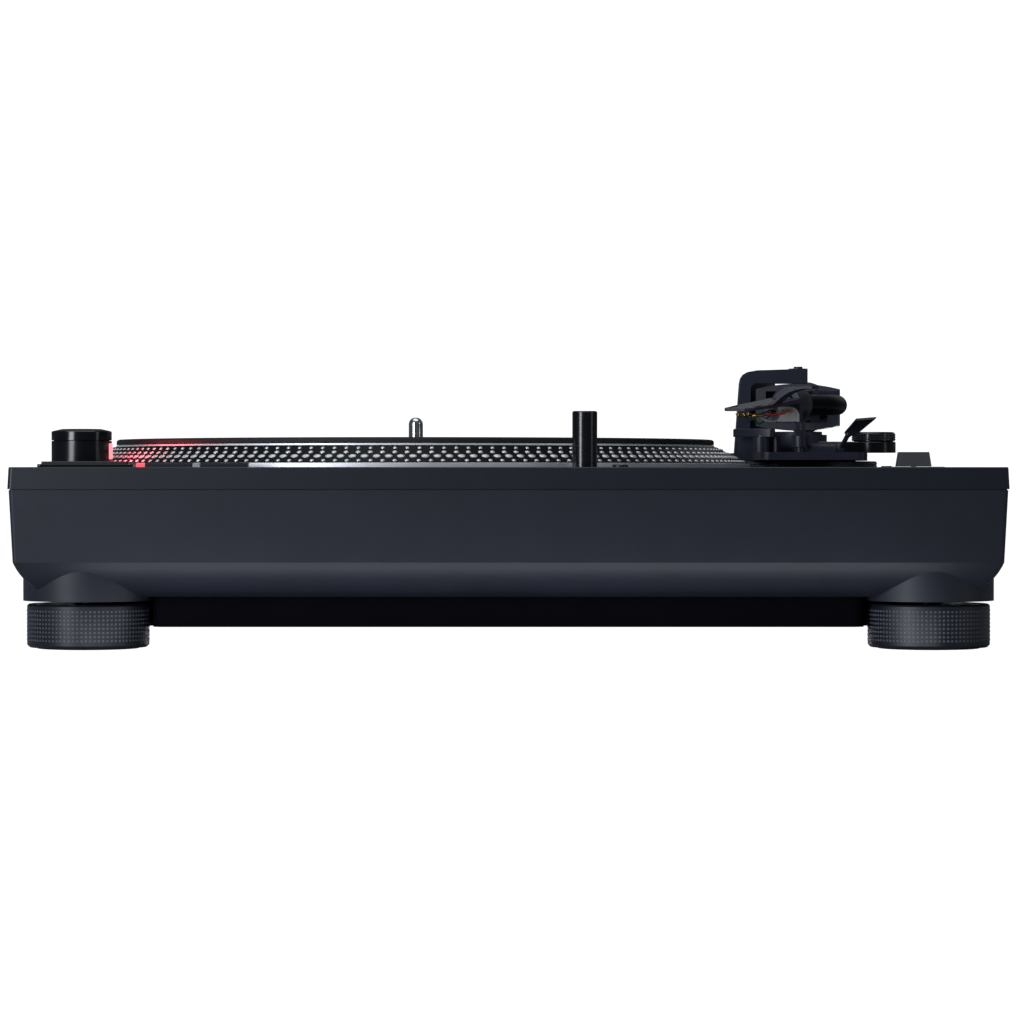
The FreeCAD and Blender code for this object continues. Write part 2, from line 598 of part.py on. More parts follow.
def rotor_magnet():
    return pipe(SPINDLE_X, 0, MAGNET_LOW, PLATTER_UNDER, MAGNET_R[1], MAGNET_R[0])


def motor_stator():
    """Coreless stator: a board hung from the panel, with its flat coils in a circle."""
    board = pipe(SPINDLE_X, 0, BOARD_Z, BOARD_Z + BOARD_T, BOARD_R, 10.3)
    pieces = []
    for i in range(COIL_COUNT):
        angle = 2 * math.pi * i / COIL_COUNT
        x, y = SPINDLE_X + 52 * math.cos(angle), 52 * math.sin(angle)
        pieces.append(pipe(x, y, BOARD_Z + BOARD_T, 70, 16.5, 6))
    for i in range(4):
        angle = math.pi / 4 + math.pi * i / 2
        x, y = SPINDLE_X + 79 * math.cos(angle), 79 * math.sin(angle)
        pieces.append(rod(x, y, BOARD_Z + BOARD_T, PANEL_UNDER, 4))
    return joined(board, *pieces)


def main_bearing():
    sleeve = rod(SPINDLE_X, 0, 40, WELL_FLOOR, 10).fuse(rod(SPINDLE_X, 0, BOARD_Z - 3, BOARD_Z, 25))
    return sleeve.cut(rod(SPINDLE_X, 0, 43, 90, SHAFT_R + RUN_GAP)).removeSplitter()


# ---------------------------------------------------------------- tonearm base

def at_pivot(radius, degrees):
    angle = math.radians(degrees)
    return PIVOT[0] + radius * math.cos(angle), PIVOT[1] + radius * math.sin(angle)


def lock_place():
    return at_pivot(48.0, 60)


def sector(radius_in, radius_out, z0, z1, start, end):
    """Part of a ring about the tonearm's pivot, between two directions in degrees."""
    face = Part.Face(Part.makePolygon([
        V(PIVOT[0] + radius_in, PIVOT[1], z0), V(PIVOT[0] + radius_out, PIVOT[1], z0),
        V(PIVOT[0] + radius_out, PIVOT[1], z1), V(PIVOT[0] + radius_in, PIVOT[1], z1),
        V(PIVOT[0] + radius_in, PIVOT[1], z0)]))
    axis_at = V(PIVOT[0], PIVOT[1], 0)
    face.rotate(axis_at, UP, start)
    return face.revolve(axis_at, UP, end - start)


def height_ring():
    """Knurled ring that raises the arm base."""
    ring = turned(PIVOT[0], PIVOT[1], [
        (SLEEVE_R, TOP_Z + FREE_GAP), (RING_R, TOP_Z + FREE_GAP), (RING_R, RING_TOP - 0.4),
        (RING_R - 0.4, RING_TOP), (SLEEVE_R, RING_TOP)])
    return ring


def height_lock():
    """Small lever that clamps the height ring."""
    x, y = lock_place()
    lever = rod(x, y, TOP_Z + FREE_GAP, 87.4, 4.2).fuse(
        plate(x, x + 15, y - 2.4, y + 2.4, TOP_Z + FREE_GAP + 1, 87.0, 2.3))
    return lever.fuse(rod(x, y, 74, TOP_Z + 1, 2.5)).removeSplitter()


def arm_base():
    """Round base with its front plate, side wall, centre column and lower sleeve."""
    px, py = PIVOT
    x0, x1, y0 = BASE_PLATE
    base = rod(px, py, BASE_LOW, BASE_TOP, BASE_R)
    front = plate(x0, x1, y0, py, BASE_LOW, BASE_TOP, 5)
    sleeve = pipe(px, py, 68, BASE_LOW, SLEEVE_R - RUN_GAP, SLEEVE_R - 4)
    side_wall = sector(WALL_R[0], WALL_R[1], BASE_TOP, WALL_TOP, 193, 246)
    column = rod(px, py, BASE_TOP, COLUMN_TOP[0], COLUMN_R[0]).fuse(
        rod(px, py, BASE_TOP, COLUMN_TOP[1], COLUMN_R[1]))
    cue_x, cue_y = at_pivot(CUE_R, CUE_POST_AT)
    cue_boss = rod(cue_x, cue_y, BASE_TOP, CUE_LOW - FREE_GAP, 4.2)
    left, right = REST[0] + 3.8, CUE_PIVOT.x - 2.3
    cue_housing = rod_x(left, right, CUE_PIVOT.y, CUE_PIVOT.z, 3.2).fuse(
        block(left, right, CUE_PIVOT.y - 3.2, CUE_PIVOT.y + 3.2, BASE_TOP - 1, CUE_PIVOT.z))
    base = joined(base, front, sleeve, side_wall, column, cue_boss, cue_housing)
    base = base.cut(rod(px, py, 95, 110, 2 + RUN_GAP))
    base = base.cut(rod(cue_x, cue_y, 80, 100, 2.5 + RUN_GAP))
    base = base.cut(block(BRACKET_LEG[0], BRACKET_LEG[1], py - BRACKET_HALF_Y, py + BRACKET_HALF_Y,
                          BASE_TOP, WALL_TOP + 1))
    base = base.cut(block(right, right + 5, CUE_PIVOT.y - 4, CUE_PIVOT.y + 4, BASE_TOP - 2.4, BASE_TOP + 1))
    return base.cut(rod_x(155, 170, CUE_PIVOT.y, CUE_PIVOT.z, 1.5 + RUN_GAP))


def gimbal_bracket():
    """Fixed bracket: a leg from the base and a bar over the ring, with the upper pivot screw."""
    px, py = PIVOT
    left, right = BRACKET_LEG
    half_y = BRACKET_HALF_Y
    under, end_x = RING_TOP_Z + FREE_GAP, 154.6
    outline = [V(left - 0.8, 0, BASE_TOP), V(right, 0, BASE_TOP), V(right + 0.6, 0, under - 2.4),
               V(right + 1.3, 0, under - 0.8), V(right + 2.9, 0, under), V(end_x, 0, under),
               V(end_x, 0, 135.1), V(129.0, 0, 134.3), V(124.0, 0, 133.4), V(122.0, 0, 132.2),
               V(120.7, 0, 130.2), V(120.1, 0, 127.6)]
    arch = prism([V(p.x, py - half_y, p.z) for p in outline], V(0, 2 * half_y, 0))
    boss = rod(px, py, under, 135.3, 5.0)
    screw = rod(px, py, RING_TOP_Z - 1.6, 136.3, 1.7)
    cap = rod(px, py, 135.3, 136.3, 2.3)
    rear_wall = sector(BRACKET_WALL[0], BRACKET_WALL[1], BASE_TOP, 128.0, 114, 172)
    return joined(arch, boss, screw, cap, rear_wall)


def anti_skate_housing():
    x, y = SKATE
    top = 96.9
    arm = block(158, x, y - 8, y + 8, BASE_TOP, top)
    end = rod(x, y, BASE_TOP, top, 11.3)
    housing = eased(arm.fuse(end).removeSplitter(), top, 0.5)
    housing = housing.fuse(rod(x, y, top - 1, top + CAP_LAP, SKATE_R - CAP_SKIRT)).removeSplitter()
    return housing.cut(rod(x, y, BASE_TOP + 1, top + 2, 2 + RUN_GAP))


def anti_skate_dial():
    x, y = SKATE
    low = 97.2
    roof, recess = low + CAP_LAP, SKATE_R - CAP_SKIRT + FREE_GAP
    dial = turned(x, y, [(0, roof), (recess, roof), (recess, low), (SKATE_R, low), (SKATE_R, 101.0),
                         (SKATE_R - 0.8, 101.8), (0, 101.8)])
    return dial.fuse(rod(x, y, BASE_TOP + 1.3, roof + 0.5, 2)).removeSplitter()


def arm_rest():
    """Post with two thin uprights, a shelf under the arm tube and an outer prong for the clamp."""
    x, y = REST
    shelf_top = 109.0
    post = rod(145.7, y, BASE_TOP, 93.8, 2.5)
    foot = rod(145.7, y, 93.8, 99.3, 4.1)
    uprights = [block(143.6, 145.2, y - 2.5, y + 2.5, 99.3, shelf_top),
                block(146.7, 148.0, y - 2.5, y + 2.5, 99.3, shelf_top)]
    shelf = block(140.5, 154.7, y - 3, y + 3, shelf_top - 1.8, shelf_top)
    hinge_x, hinge_z = CLAMP_AT
    prong = block(hinge_x - 0.8, hinge_x + 0.8, y - 2.2, y + 2.2, shelf_top, hinge_z)
    barrel = rod_y(hinge_x, y - 2.2, y + 2.2, hinge_z, 1.6)
    rest = joined(post, foot, shelf, prong, barrel, *uprights)
    return rest.cut(rod_y(hinge_x, y - 5, y + 5, hinge_z, CLAMP_PIN_R + RUN_GAP))


def arm_clamp():
    """Wire bail hinged on the rest's prong, folded open to the outer side."""
    y = REST[1]
    x, z = CLAMP_AT
    reach, half_y = 10.4, 3.7
    pin = rod_y(x, y - half_y, y + half_y, z, CLAMP_PIN_R)
    sides = []
    for side in (-1, 1):
        at = y + side * (half_y - 0.6)
        sides.append(block(x, x + reach, at - 0.6, at + 0.6, z - 0.7, z + 0.7))
    bar = rod_y(x + reach, y - half_y, y + half_y, z, CLAMP_PIN_R)
    return joined(pin, bar, *sides)


def cue_lift():
    """Curved bar that raises the arm tube, on its post."""
    half = 2.4
    bar = sector(CUE_R - half, CUE_R + half, CUE_LOW, CUE_TOP, *CUE_SPAN)
    for degrees in CUE_SPAN:
        x, y = at_pivot(CUE_R, degrees)
        bar = bar.fuse(rod(x, y, CUE_LOW, CUE_TOP, half))
    bar = softened(bar.removeSplitter(), CUE_TOP, 0.8)
    x, y = at_pivot(CUE_R, CUE_POST_AT)
    return bar.fuse(rod(x, y, BASE_LOW + FREE_GAP, CUE_LOW + 1, 2.5)).removeSplitter()


def cue_lever():
    """Lever that turns the cueing cam: a shaft across, a bent rod and a flat finger paddle."""
    p = CUE_PIVOT
    shaft = rod_x(156, p.x + 1.6, p.y, p.z, 1.5)
    hub = rod_x(p.x - 1.9, p.x + 1.6, p.y, p.z, 3.4)
    bend = V(168.8, -3.5, 100.0)
    start = V(p.x, p.y, p.z)
    slope = bend - start
    stem = Part.makeCylinder(1.2, slope.Length, start, slope)
    knee = Part.makeSphere(1.6, bend)
    low_left, low_right = V(167.4, -2.0, 101.6), V(172.3, -4.0, 99.9)
    high_right, high_left = V(181.8, -15.0, 108.5), V(171.6, -15.5, 107.7)
    across = (low_right - low_left).cross(high_left - low_left).normalize() * 1.5
    paddle = Part.makeLoft([
        Part.makePolygon([low_left, low_right, low_right + across, low_left + across, low_left]),
        Part.makePolygon([high_left, high_right, high_right + across, high_left + across, high_left])],
        True, True)
    return joined(shaft, hub, stem, knee, paddle)


# ---------------------------------------------------------------- tonearm

def gimbal_ring():
    """Barrel-shaped ring that turns about the vertical pivots and holds the arm's level pivots."""
    half_x, half_y = GIMBAL
    top, top_end = RING_TOP_Z - ARM_Z, RING_TOP_Z - 2.6 - ARM_Z
    low, low_end = 103.0 - ARM_Z, 105.5 - ARM_Z
    edges = [Part.Arc(V(-half_x, -half_y, top_end), V(0, -half_y, top), V(half_x, -half_y, top_end)).toShape(),
             Part.LineSegment(V(half_x, -half_y, top_end), V(half_x, -half_y, low_end)).toShape(),
             Part.Arc(V(half_x, -half_y, low_end), V(0, -half_y, low), V(-half_x, -half_y, low_end)).toShape(),
             Part.LineSegment(V(-half_x, -half_y, low_end), V(-half_x, -half_y, top_end)).toShape()]
    ring = Part.Face(Part.Wire(edges)).extrude(V(0, 2 * half_y, 0))
    inner = half_x - GIMBAL_WALL
    ring = ring.cut(block(-inner, inner, -half_y - 1, half_y - 1.6, -GIMBAL_HOLE, GIMBAL_HOLE))
    ring = ring.cut(plate(-5.8, 5.8, 0, half_y + 5, -7.6, 7.6, 4))
    ring = ring.cut(rod(0, 0, top - 2.0, top + 2, 1.7 + RUN_GAP))
    ring = ring.cut(rod_x(-half_x + 1, half_x - 1, 0, 0, 1.5 + RUN_GAP))
    ring = ring.fuse(rod(0, 0, 97 - ARM_Z, -GIMBAL_HOLE - 1, 2))
    return placed(ring.removeSplitter(), YAW_FRAME)


def arm_yoke():
    """Pivot block of the arm tube with its two level pivot pins."""
    half_x, half_z = 12.2, 6.0
    yoke = plate(-half_x, half_x, -9.0, 4.7, -half_z, half_z, 2.0)
    yoke = yoke.fuse(rod_x(-19.5, 19.5, 0, 0, 1.5))
    return placed(yoke.cut(rod_y(0, -20, 20, 0, TUBE_R)).removeSplitter(), ARM_FRAME)


def arm_tube():
    outer, _ = swept(TUBE_ROUTE, TUBE_BENDS, TUBE_R)
    inner, _ = swept(TUBE_ROUTE, TUBE_BENDS, TUBE_R - TUBE_WALL)
    return placed(outer.cut(inner), ARM_FRAME)


def turned_along_arm(outline):
    """A solid turned about the arm's axis from (radius, distance behind the pivot) points."""
    points = [V(r, y, 0) for r, y in outline]
    face = Part.Face(Part.makePolygon(points + [points[0]]))
    return face.revolve(V(0, 0, 0), REAR, 360)


def counterweight():
    radius, front, rear = WEIGHT
    bore = TUBE_R + RUN_GAP
    body = turned_along_arm([(bore, front), (radius - 1.0, front), (radius, front + 1.0), (radius, rear - 4),
                             (radius - 0.8, rear - 3.4), (radius - 0.8, rear - 1.0), (radius - 2, rear),
                             (bore, rear)])
    return placed(body, ARM_FRAME)


def pressure_dial():
    radius, front, rear = DIAL
    bore = TUBE_R + RUN_GAP
    body = turned_along_arm([(bore, front), (radius - 0.6, front), (radius, front + 0.6), (radius, rear),
                             (bore, rear)])
    return placed(body, ARM_FRAME)


def collar():
    """Locking collar of the headshell, turned about the tube's end."""
    radius, rear, front = COLLAR
    bore = TUBE_R + RUN_GAP
    body = turned_along_arm([(bore, rear), (5.6, rear), (radius, rear - 2.0), (radius, front + 0.8),
                             (radius - 0.8, front), (bore, front)])
    return placed(body, HEAD_FRAME)


def headshell():
    """Flat nose-down plate with a rear wall, a connector stub and two slots for the cartridge."""
    half_rear, half_tip = 9.2, 7.8
    plan = prism([V(-half_rear, HEAD_BACK, -20), V(half_rear, HEAD_BACK, -20), V(half_rear, -40, -20),
                  V(half_tip, HEAD_TIP + 4, -20), V(half_tip - 3, HEAD_TIP, -20), V(3 - half_tip, HEAD_TIP, -20),
                  V(-half_tip, HEAD_TIP + 4, -20), V(-half_rear, -40, -20)], V(0, 0, 40))
    side = prism([V(-10, HEAD_BACK, 3.0), V(-10, HEAD_BACK - 5, 2.2), V(-10, HEAD_TIP, -2.2),
                  V(-10, HEAD_TIP, -3.4), V(-10, HEAD_BACK - 3, 0.4), V(-10, HEAD_BACK - 3, -8.4),
                  V(-10, HEAD_BACK, -8.4)], V(20, 0, 0))
    shell = plan.common(side).fuse(rod_y(0, HEAD_BACK, -TUBE_WALL, 0, TUBE_R - TUBE_WALL - RUN_GAP))
    for side_x in (-6.35, 6.35):
        slot = plate(side_x - 1.3, side_x + 1.3, -52, -42, -10, 5, 1.29)
        shell = shell.cut(slot)
    return placed(shell.removeSplitter(), HEAD_FRAME)


def finger_lift():
    """Thin strip that curves up from the plate's outer side."""
    front, rear = -40.0, -33.0
    low = [V(7.6, front, -1.4), V(10.5, front, 0.0), V(14, front, 2.9), V(17.5, front, 5.0),
           V(21.5, front, 6.3), V(26, front, 6.9), V(30, front, 6.8)]
    thick = 1.3
    high = [V(p.x - 0.3, p.y, p.z + thick) for p in low]
    strip = prism(low + high[::-1], V(0, rear - front, 0))
    return placed(strip, HEAD_FRAME).cut(headshell())


def lead(name):
    points = LEADS[name]
    radii = free_radii(points)
    solid, length = swept(points, radii, LEAD_R)
    expected = math.pi * LEAD_R ** 2 * length
    print(name, "length", round(length, 2), "least radius", round(min(radii), 2),
          "volume ratio", round(solid.Volume / expected, 4))
    assert min(radii) >= LIMP_BEND * 2 * LEAD_R
    return placed(solid, HEAD_FRAME)


def lead_clips():
    """Gold tags that push onto the cartridge's pins, one at each lead's end."""
    clips = []
    for points in LEADS.values():
        along = (points[-1] - points[-2]).normalize()
        clips.append(Part.makeCylinder(CLIP_R, CLIP_LENGTH, points[-1], along))
    return placed(Part.makeCompound(clips), HEAD_FRAME)


# ---------------------------------------------------------------- all sub-parts

def all_parts():
    parts = {
        "top_panel": top_panel(), "lower_chassis": lower_chassis(), "bottom_cover": bottom_cover(),
        "cover_screws": cover_screws(), "control_bezel": control_bezel(), "strobe_tower": strobe_tower(),
        "strobe_lens": strobe_lens(), "speed_leds": speed_leds(), "pitch_plate": pitch_plate(),
        "motor_stator": motor_stator(), "main_bearing": main_bearing(), "power_supply": power_supply(),
        "control_board": control_board(), "pitch_fader": pitch_fader(), "rear_terminals": rear_terminals(),
        "mains_inlet": mains_inlet(), "platter": platter(), "platter_mat": platter_mat(),
        "spindle": spindle(), "rotor_magnet": rotor_magnet(), "arm_base": arm_base(),
        "gimbal_bracket": gimbal_bracket(), "anti_skate_housing": anti_skate_housing(),
        "arm_rest": arm_rest(), "height_ring": height_ring(), "height_lock": height_lock(),
        "gimbal_ring": gimbal_ring(), "arm_tube": arm_tube(), "arm_yoke": arm_yoke(),
        "counterweight": counterweight(), "pressure_dial": pressure_dial(), "collar": collar(),
        "headshell": headshell(), "finger_lift": finger_lift(), "lead_clips": lead_clips(),
        "cue_lever": cue_lever(), "cue_lift": cue_lift(), "arm_clamp": arm_clamp(),
        "anti_skate_dial": anti_skate_dial(), "start_button": start_button(),
        "button_33": speed_button(BUTTON_33), "button_45": speed_button(BUTTON_45),
        "power_knob": power_knob(), "pitch_knob": pitch_knob(),
        "reset_button": round_button(RESET[0], RESET[1], RESET_R, 84.0, 0.3),
        "lamp_tube": lamp_tube(),
        "lamp_button": round_button(LAMP_BUTTON[0], LAMP_BUTTON[1], LAMP_BUTTON_R, 84.4, 0.4),
        "adaptor": adaptor(),
    }
    for name in LEADS:
        parts[name] = lead(name)
    for place, (x, y) in foot_places().items():
        parts["foot_" + place] = foot_housing(x, y)
        parts["foot_pad_" + place] = foot_pad(x, y)
    return parts


os.makedirs("parts", exist_ok=True)
for node, shape in all_parts().items():
    if not shape.isValid() or not shape.Solids:
        print("BAD", node, shape.isValid(), len(shape.Solids))
    shape.exportStep("parts/" + node + ".step")
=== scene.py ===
"""Looks of the turntable record player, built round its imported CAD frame.  Units are metres."""
import bpy
import json
import math
from mathutils import Matrix, Vector


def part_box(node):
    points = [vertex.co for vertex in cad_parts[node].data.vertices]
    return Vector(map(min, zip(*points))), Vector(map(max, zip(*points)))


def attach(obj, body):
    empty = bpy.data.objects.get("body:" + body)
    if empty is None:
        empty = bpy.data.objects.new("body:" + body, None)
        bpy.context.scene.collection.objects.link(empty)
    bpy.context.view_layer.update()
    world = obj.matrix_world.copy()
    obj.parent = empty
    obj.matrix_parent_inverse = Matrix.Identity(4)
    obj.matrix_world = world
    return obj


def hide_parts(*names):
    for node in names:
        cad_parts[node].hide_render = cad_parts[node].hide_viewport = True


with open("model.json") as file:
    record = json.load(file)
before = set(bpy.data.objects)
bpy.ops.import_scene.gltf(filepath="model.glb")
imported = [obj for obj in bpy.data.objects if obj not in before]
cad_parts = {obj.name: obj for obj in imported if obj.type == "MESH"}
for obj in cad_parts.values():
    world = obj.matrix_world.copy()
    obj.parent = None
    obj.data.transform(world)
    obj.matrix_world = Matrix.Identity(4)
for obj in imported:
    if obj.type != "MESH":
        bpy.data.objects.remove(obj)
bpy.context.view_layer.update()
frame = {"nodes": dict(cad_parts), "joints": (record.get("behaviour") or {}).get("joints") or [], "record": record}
NODES = frame["nodes"]
JOINTS = {joint["name"]: joint for joint in frame["joints"]}
MOUNTS = {mount["name"]: mount for mount in frame["record"]["mounts"]}
CORNERS = ("front_left", "front_right", "rear_left", "rear_right")
MM = 0.001
INK = 0.03 * MM             # half the thickness of a printed number
WELD_GAP, BROKEN_EDGE = 0.001 * MM, 0.15 * MM
EDGE_ANGLE = math.radians(40)   # edges that turn more than this are broken
WAVE_PITCH = 0.314          # scale of a wave texture whose rings are a metre apart


# ---------------------------------------------------------------- camera, lights and floor

def link(obj):
    bpy.context.scene.collection.objects.link(obj)
    return obj


def aim(obj, target):
    obj.rotation_euler = (Vector(target) - obj.location).to_track_quat("-Z", "Y").to_euler()


def make_camera():
    """Low and straight in front, as for a product picture."""
    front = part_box("top_panel")[0].y
    across, distance, height, aim_height = 1.6 * MM, 1.7, 77.8 * MM, 62.9 * MM
    data = bpy.data.cameras.new("camera")
    data.sensor_width = 36.0
    data.lens = 132.4
    camera = link(bpy.data.objects.new("camera", data))
    camera.location = (across, front - distance, height)
    aim(camera, (across, front, aim_height))
    bpy.context.scene.camera = camera


def area_light(name, place, target, size, power, colour=(1, 1, 1)):
    data = bpy.data.lights.new(name, "AREA")
    data.shape = "RECTANGLE"
    data.size, data.size_y = size
    data.energy = power
    data.color = colour
    lamp = link(bpy.data.objects.new(name, data))
    lamp.location = place
    aim(lamp, target)
    return lamp


def by_camera(tree, unseen, seen, output):
    """The stage looks bright white to the camera and lights the object more gently."""
    path = tree.nodes.new("ShaderNodeLightPath")
    mix = tree.nodes.new("ShaderNodeMixShader")
    tree.links.new(path.outputs["Is Camera Ray"], mix.inputs[0])
    tree.links.new(unseen.outputs[0], mix.inputs[1])
    tree.links.new(seen.outputs[0], mix.inputs[2])
    tree.links.new(mix.outputs[0], output.inputs["Surface"])


def make_lights():
    cool = (0.88, 0.92, 1.0)
    area_light("key_left", (-0.95, -1.25, 0.5), (-0.2, -0.1, 0.06), (0.45, 1.0), 13.5, cool)
    area_light("strip_right", (1.5, -0.75, 0.5), (0.15, 0, 0.08), (0.2, 0.9), 0.9, (0.95, 0.97, 1.0))
    area_light("top_soft", (-0.1, -0.1, 1.5), (0, 0, 0), (1.6, 1.2), 6.5)
    area_light("rear_soft", (0.5, 1.5, 0.6), (0.1, 0, 0.08), (1.2, 0.5), 0.5)
    rear = area_light("rear_low", (0.0, 0.45, 0.018), (0, 0.17, 0.045), (0.6, 0.03), 0.55, (0.92, 0.95, 1.0))
    rear.visible_camera = False
    low = area_light("low_front", (0, -0.200, 0.002), (0, -0.180, 0.04), (0.40, 0.02), 0.09, cool)
    low.visible_camera = False
    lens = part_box("strobe_lens")
    middle = (lens[0] + lens[1]) / 2
    glow_at = (lens[1].x + 2 * MM, middle.y - 2 * MM, middle.z)
    area_light("strobe_glow", glow_at, (0, 0, middle.z), (8 * MM, 6 * MM), 0.012, (1.0, 0.03, 0.05))
    world = bpy.data.worlds.new("studio")
    bpy.context.scene.world = world
    world.use_nodes = True
    tree = world.node_tree
    tree.nodes.clear()
    output = tree.nodes.new("ShaderNodeOutputWorld")
    seen, fill = tree.nodes.new("ShaderNodeBackground"), tree.nodes.new("ShaderNodeBackground")
    seen.inputs["Color"].default_value = (1, 1, 1, 1)
    seen.inputs["Strength"].default_value = 1.1
    fill.inputs["Color"].default_value = (0.80, 0.89, 1, 1)
    fill.inputs["Strength"].default_value = 0.08
    by_camera(tree, fill, seen, output)
    bpy.context.scene.view_settings.view_transform = "Standard"


def make_floor():
    mesh = bpy.data.meshes.new("floor")
    half = 6.0
    mesh.from_pydata([(-half, -half, 0), (half, -half, 0), (half, half, 0), (-half, half, 0)], [],
                     [(0, 1, 2, 3)])
    floor = link(bpy.data.objects.new("floor", mesh))
    material = bpy.data.materials.new("pale_floor")
    material.use_nodes = True
    tree = material.node_tree
    tree.nodes.remove(tree.nodes["Principled BSDF"])
    seen, unseen = tree.nodes.new("ShaderNodeEmission"), tree.nodes.new("ShaderNodeBsdfDiffuse")
    seen.inputs["Color"].default_value = (1, 1, 1, 1)
    seen.inputs["Strength"].default_value = 1.05
    unseen.inputs["Color"].default_value = (0.50, 0.54, 0.60, 1)
    by_camera(tree, unseen, seen, tree.nodes["Material Output"])
    mesh.materials.append(material)


# ---------------------------------------------------------------- materials

def new_material(name):
    material = bpy.data.materials.new(name)
    material.use_nodes = True
    return material, material.node_tree, material.node_tree.nodes["Principled BSDF"]


def noise(tree, scale, detail=4.0):
    """Noise over the piece's own coordinates; scale is in features per metre."""
    place = tree.nodes.new("ShaderNodeTexCoord")
    texture = tree.nodes.new("ShaderNodeTexNoise")
    texture.inputs["Scale"].default_value = scale
    texture.inputs["Detail"].default_value = detail
    texture.inputs["Roughness"].default_value = 0.6
    tree.links.new(place.outputs["Object"], texture.inputs["Vector"])
    return texture.outputs["Fac"]


def spread(tree, value, low, high):
    """The value moved from 0.3-0.7, where noise mostly lies, to low-high."""
    node = tree.nodes.new("ShaderNodeMapRange")
    node.inputs["From Min"].default_value = 0.3
    node.inputs["From Max"].default_value = 0.7
    node.inputs["To Min"].default_value = low
    node.inputs["To Max"].default_value = high
    tree.links.new(value, node.inputs["Value"])
    return node.outputs["Result"]


def two_tone(tree, value, dark, light):
    ramp = tree.nodes.new("ShaderNodeValToRGB")
    ramp.color_ramp.elements[0].position = 0.3
    ramp.color_ramp.elements[1].position = 0.7
    ramp.color_ramp.elements[0].color = (*dark, 1)
    ramp.color_ramp.elements[1].color = (*light, 1)
    tree.links.new(value, ramp.inputs["Fac"])
    return ramp.outputs["Color"]


def bumped(tree, shader, height, strength, distance):
    bump = tree.nodes.new("ShaderNodeBump")
    bump.inputs["Strength"].default_value = strength
    bump.inputs["Distance"].default_value = distance
    tree.links.new(height, bump.inputs["Height"])
    tree.links.new(bump.outputs["Normal"], shader.inputs["Normal"])


def grained(name, colour, roughness, grain, depth, metallic=0.0, coat=0.0, specular=0.5):
    """A surface with a fine grain, such as paint, moulded plastic, rubber or plated metal."""
    vary = 0.12     # how far the colour drifts either way
    material, tree, shader = new_material(name)
    fine = noise(tree, grain)
    broad = noise(tree, 34.0, detail=3.0)
    dark = [c * (1 - vary) for c in colour]
    light = [min(1.0, c * (1 + vary)) for c in colour]
    tree.links.new(two_tone(tree, broad, dark, light), shader.inputs["Base Color"])
    tree.links.new(spread(tree, fine, roughness - 0.05, roughness + 0.05), shader.inputs["Roughness"])
    bumped(tree, shader, fine, 0.5, depth * MM)
    shader.inputs["Metallic"].default_value = metallic
    shader.inputs["Specular IOR Level"].default_value = specular
    shader.inputs["Coat Weight"].default_value = coat
    shader.inputs["Coat Roughness"].default_value = 0.2
    return material


def ringed(material, centre, pitch, depth):
    """Adds turned rings round a vertical axis to a grained material's bump."""
    tree = material.node_tree
    shader = tree.nodes["Principled BSDF"]
    place = tree.nodes.new("ShaderNodeTexCoord")
    shift = tree.nodes.new("ShaderNodeMapping")
    shift.inputs["Location"].default_value = (-centre.x, -centre.y, 0)
    rings = tree.nodes.new("ShaderNodeTexWave")
    rings.wave_type = "RINGS"
    rings.rings_direction = "Z"
    rings.inputs["Scale"].default_value = WAVE_PITCH / pitch
    tree.links.new(place.outputs["Object"], shift.inputs["Vector"])
    tree.links.new(shift.outputs["Vector"], rings.inputs["Vector"])
    bump = tree.nodes.new("ShaderNodeBump")
    bump.inputs["Strength"].default_value = 0.8
    bump.inputs["Distance"].default_value = depth
    tree.links.new(rings.outputs["Fac"], bump.inputs["Height"])
    grain = next(n for n in tree.nodes if n.type == "BUMP" and n != bump)
    tree.links.new(bump.outputs["Normal"], grain.inputs["Normal"])
    return material


def glowing(name, colour, strength):
    """Clouded plastic or glass that gives off a little light of its own."""
    roughness = 0.25
    material, tree, shader = new_material(name)
    cloud = noise(tree, 260.0)
    deep = [c * 0.7 for c in colour]
    tree.links.new(two_tone(tree, cloud, deep, colour), shader.inputs["Base Color"])
    tree.links.new(spread(tree, noise(tree, 900.0), roughness - 0.05, roughness + 0.05),
                   shader.inputs["Roughness"])
    tree.links.new(two_tone(tree, cloud, deep, colour), shader.inputs["Emission Color"])
    shader.inputs["Emission Strength"].default_value = strength
    return material


